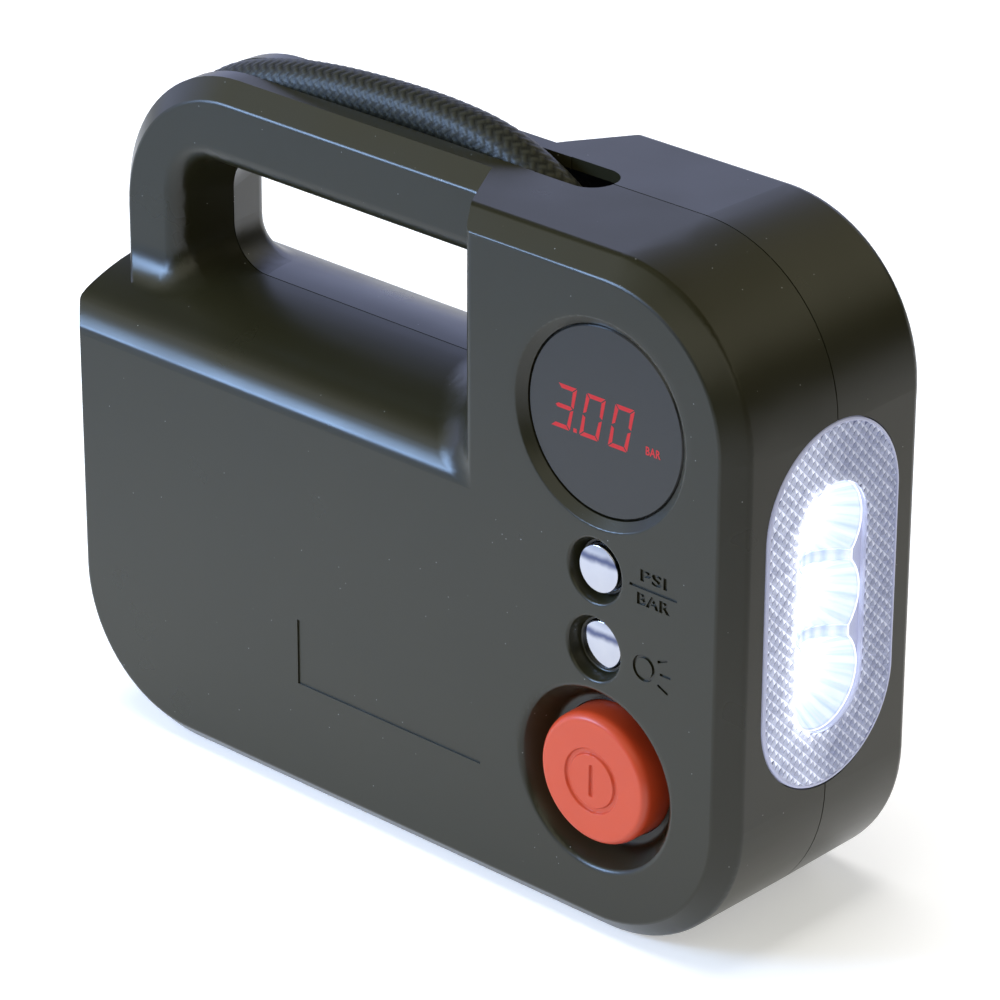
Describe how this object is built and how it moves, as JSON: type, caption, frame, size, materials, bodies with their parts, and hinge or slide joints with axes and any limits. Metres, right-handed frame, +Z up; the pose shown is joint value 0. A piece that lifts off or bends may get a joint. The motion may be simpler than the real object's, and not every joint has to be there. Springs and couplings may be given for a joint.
{
  "type": "portable tyre inflator",
  "caption": "Hand-held tyre inflator with a carrying handle, round digital gauge, push buttons, work lamp and a stowed braided air hose.",
  "frame": {"origin": "middle of the base, on the surface it stands on", "axes": "+X along the body to the work lamp, -Y out of the control face, +Z up"},
  "size_m": [0.2197, 0.0693, 0.1796],
  "materials": {
    "housing": "moulded ABS with a fine spark grain",
    "hose_braid": "woven nylon braid over a rubber hose",
    "smoked_window": "polished smoked acrylic",
    "chrome_cap": "mirror chrome plating",
    "power_red": "satin moulded plastic",
    "lens_clear": "clear moulded polycarbonate with a fine prismatic grid",
    "reflector": "vacuum-metallised plastic",
    "lamp_light": "encapsulated white LED, lit",
    "circuit_board": "solder-masked laminate",
    "black_plastic": "plain moulded plastic",
    "brass": "turned brass",
    "bare_aluminium": "turned or cast aluminium",
    "steel": "ground steel",
    "nylon": "moulded nylon",
    "seal_rubber": "moulded rubber",
    "cell_wrap": "round cell in a shrunk sleeve"
  },
  "bodies": {
    "housing": {"control_shell": "housing", "rear_shell": "housing", "air_hose": "hose_braid", "display_window": "smoked_window", "lamp_lens": "lens_clear", "lamp_reflector": "reflector", "lamp_led_1": "lamp_light", "lamp_led_2": "lamp_light", "lamp_led_3": "lamp_light", "control_board": "circuit_board", "led_board": "circuit_board", "charge_board": "circuit_board", "display_module": "black_plastic", "unit_switch": "black_plastic", "lamp_switch": "black_plastic", "power_switch": "black_plastic", "motor_cap": "black_plastic", "battery_tray": "black_plastic", "battery_cap": "black_plastic", "charge_inlet": "black_plastic", "pressure_sensor": "black_plastic", "valve_stem": "brass", "axle_bush": "brass", "outlet_sleeve": "bare_aluminium", "valve_sleeve": "bare_aluminium", "cylinder": "bare_aluminium", "cylinder_head": "bare_aluminium", "compressor_frame": "bare_aluminium", "motor_case": "steel", "valve_seal": "seal_rubber", "battery_cell_1": "cell_wrap", "battery_cell_2": "cell_wrap", "battery_cell_3": "cell_wrap"},
    "power_button": {"power_button": "power_red"},
    "unit_button": {"unit_button": "chrome_cap"},
    "lamp_button": {"lamp_button": "chrome_cap"},
    "rotor": {"motor_shaft": "steel", "motor_pinion": "steel"},
    "crank": {"crank_gear": "nylon", "gear_axle": "steel"},
    "piston": {"piston": "nylon", "piston_seal": "seal_rubber", "wrist_pin": "steel"},
    "connecting_rod": {"connecting_rod": "bare_aluminium", "crank_pin": "steel"},
    "valve_nut": {"valve_nut": "brass"}
  },
  "joints": [
    {"name": "power_press", "type": "slide", "parent": "housing", "child": "power_button", "axis": [0, 1, 0], "range_m": [0, 0.0025], "stiffness_N_per_m": 800, "springref_m": -0.001},
    {"name": "unit_press", "type": "slide", "parent": "housing", "child": "unit_button", "axis": [0, 1, 0], "range_m": [0, 0.0008], "stiffness_N_per_m": 1500, "springref_m": -0.0005},
    {"name": "lamp_press", "type": "slide", "parent": "housing", "child": "lamp_button", "axis": [0, 1, 0], "range_m": [-0.0016, 0.0004], "stiffness_N_per_m": 1500},
    {"name": "crank_spin", "type": "hinge", "parent": "housing", "child": "crank", "pos_m": [0.041, 0, 0.0541], "axis": [1, 0, 0], "continuous": true},
    {"name": "rotor_spin", "type": "hinge", "parent": "housing", "child": "rotor", "pos_m": [0.041, 0, 0.03], "axis": [1, 0, 0], "continuous": true},
    {"name": "piston_stroke", "type": "slide", "parent": "housing", "child": "piston", "axis": [0, 0, 1], "range_m": [-0.01, 0]},
    {"name": "rod_swing", "type": "hinge", "parent": "piston", "child": "connecting_rod", "pos_m": [0.05, 0, 0.0951], "axis": [1, 0, 0], "range_deg": [-8, 8]},
    {"name": "nut_turn", "type": "hinge", "parent": "housing", "child": "valve_nut", "pos_m": [-0.1024, 0, 0.055], "axis": [0, 0, 1], "continuous": true}
  ],
  "couplings": [
    {"joint": "rotor_spin", "follows": "crank_spin", "ratio": -3.8}
  ]
}
